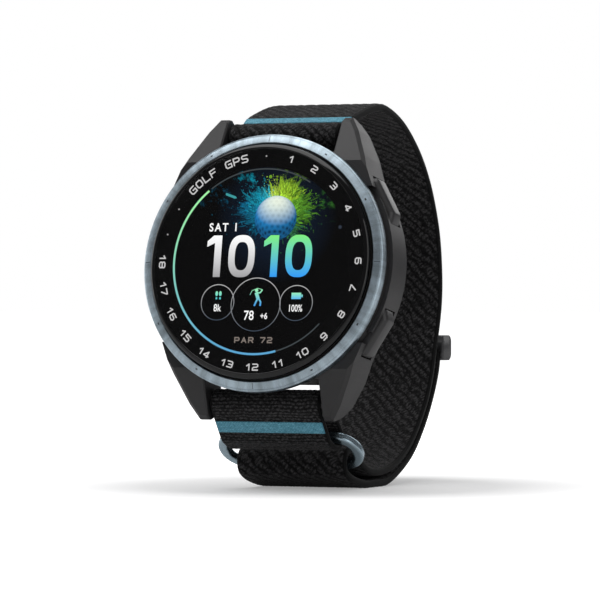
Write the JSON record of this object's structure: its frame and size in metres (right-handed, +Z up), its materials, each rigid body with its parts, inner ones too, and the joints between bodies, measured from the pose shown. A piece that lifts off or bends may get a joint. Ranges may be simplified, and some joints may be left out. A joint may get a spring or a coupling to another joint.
{
  "type": "golf gps watch",
  "caption": "Round wristwatch with a metal bezel, lit display, push buttons on one side and a woven hook-and-loop strap closed into a loop through a metal ring.",
  "frame": {"origin": "where the strap loop rests on the ground, on the plane of symmetry of the strap", "axes": "+Z up, dial faces -Y and tilts back 9.6 degrees, +X towards 3 o'clock"},
  "size_m": [0.0436, 0.0633, 0.0649],
  "materials": {
    "case": "fine matt",
    "bezel": "brushed, anodised",
    "lens": "polished",
    "number_ring": "printed black",
    "seal_rubber": "soft",
    "display": "lit screen",
    "frame_plastic": "moulded",
    "flex": "polyimide film",
    "board": "solder mask",
    "shield": "tinned",
    "antenna": "fired ceramic",
    "battery": "foil pouch",
    "foam": "foam",
    "steel": "stainless",
    "sensor_glass": "polished",
    "led": "clear",
    "cover": "fine matt",
    "contact": "gold plated",
    "button": "satin coated",
    "textile": "woven nylon",
    "stripe": "woven nylon",
    "ring_metal": "satin anodised",
    "hook": "moulded hooks",
    "tab": "moulded"
  },
  "bodies": {
    "watch_head": {"case": "case", "bezel": "bezel", "lens": "lens", "number_ring": "number_ring", "lens_gasket": "seal_rubber", "display_panel": "display", "display_frame": "frame_plastic", "display_flex": "flex", "main_board": "board", "shield_can": "shield", "gps_antenna": "antenna", "battery": "battery", "battery_pad": "foam", "vibration_motor": "steel", "sensor_board": "board", "sensor_leds": "led", "sensor_window": "sensor_glass", "rear_cover": "cover", "rear_cover_seal": "seal_rubber", "rear_cover_screws": "steel", "charge_port_insert": "frame_plastic", "charge_contacts": "contact", "switch_flex": "flex", "upper_button_seal": "seal_rubber", "upper_button_spring": "steel", "upper_button_switch": "shield", "lower_button_seal": "seal_rubber", "lower_button_spring": "steel", "lower_button_switch": "shield"},
    "upper_button": {"upper_button": "button", "upper_button_stem": "steel", "upper_button_clip": "steel"},
    "lower_button": {"lower_button": "button", "lower_button_stem": "steel", "lower_button_clip": "steel"},
    "long_strap": {"long_strap": "textile", "upper_stripe": "stripe", "upper_bar_tube": "steel", "upper_bar_tip": "steel", "upper_bar_spring": "steel"},
    "upper_release": {"upper_release_pin": "steel"},
    "short_strap": {"short_strap": "textile", "lower_stripe": "stripe", "lower_bar_tube": "steel", "lower_bar_tip": "steel", "lower_bar_spring": "steel"},
    "lower_release": {"lower_release_pin": "steel"},
    "ring": {"strap_ring": "ring_metal"},
    "flap": {"strap_flap": "textile", "hook_patch": "hook", "end_tab": "tab"}
  },
  "joints": [
    {"name": "upper_button_press", "type": "slide", "parent": "watch_head", "child": "upper_button", "axis": [-0.866, -0.0834, -0.493], "range_m": [0, 0.00045], "stiffness_N_per_m": 1500, "springref_m": -0.0002, "deforming": ["upper_button_spring"]},
    {"name": "lower_button_press", "type": "slide", "parent": "watch_head", "child": "lower_button", "axis": [-0.866, 0.0834, 0.493], "range_m": [0, 0.00045], "stiffness_N_per_m": 1500, "springref_m": -0.0002, "deforming": ["lower_button_spring"]},
    {"name": "short_strap_swing", "type": "hinge", "parent": "watch_head", "child": "short_strap", "pos_m": [0, -0.02185, 0.01458], "axis": [-1, 0, 0], "range_deg": [0, 12]},
    {"name": "ring_swing", "type": "hinge", "parent": "short_strap", "child": "ring", "pos_m": [0, -0.0159, 0.0089], "axis": [-1, 0, 0], "range_deg": [-24, 0]},
    {"name": "long_strap_swing", "type": "hinge", "parent": "watch_head", "child": "long_strap", "pos_m": [0, -0.01438, 0.05875], "axis": [-1, 0, 0], "range_deg": [0, 0.6]},
    {"name": "flap_peel", "type": "hinge", "parent": "long_strap", "child": "flap", "pos_m": [0, -0.01078, 0.00147], "axis": [-1, 0, 0], "range_deg": [0, 110]},
    {"name": "upper_release_slide", "type": "slide", "parent": "long_strap", "child": "upper_release", "axis": [1, 0, 0], "range_m": [0, 0.0011], "stiffness_N_per_m": 300, "springref_m": -0.0005, "deforming": ["upper_bar_spring"]},
    {"name": "lower_release_slide", "type": "slide", "parent": "short_strap", "child": "lower_release", "axis": [1, 0, 0], "range_m": [0, 0.0011], "stiffness_N_per_m": 300, "springref_m": -0.0005, "deforming": ["lower_bar_spring"]}
  ],
  "couplings": [
    {"joint": "ring_swing", "follows": "short_strap_swing", "ratio": -1.9327},
    {"joint": "long_strap_swing", "follows": "short_strap_swing", "ratio": 0.0447}
  ]
}
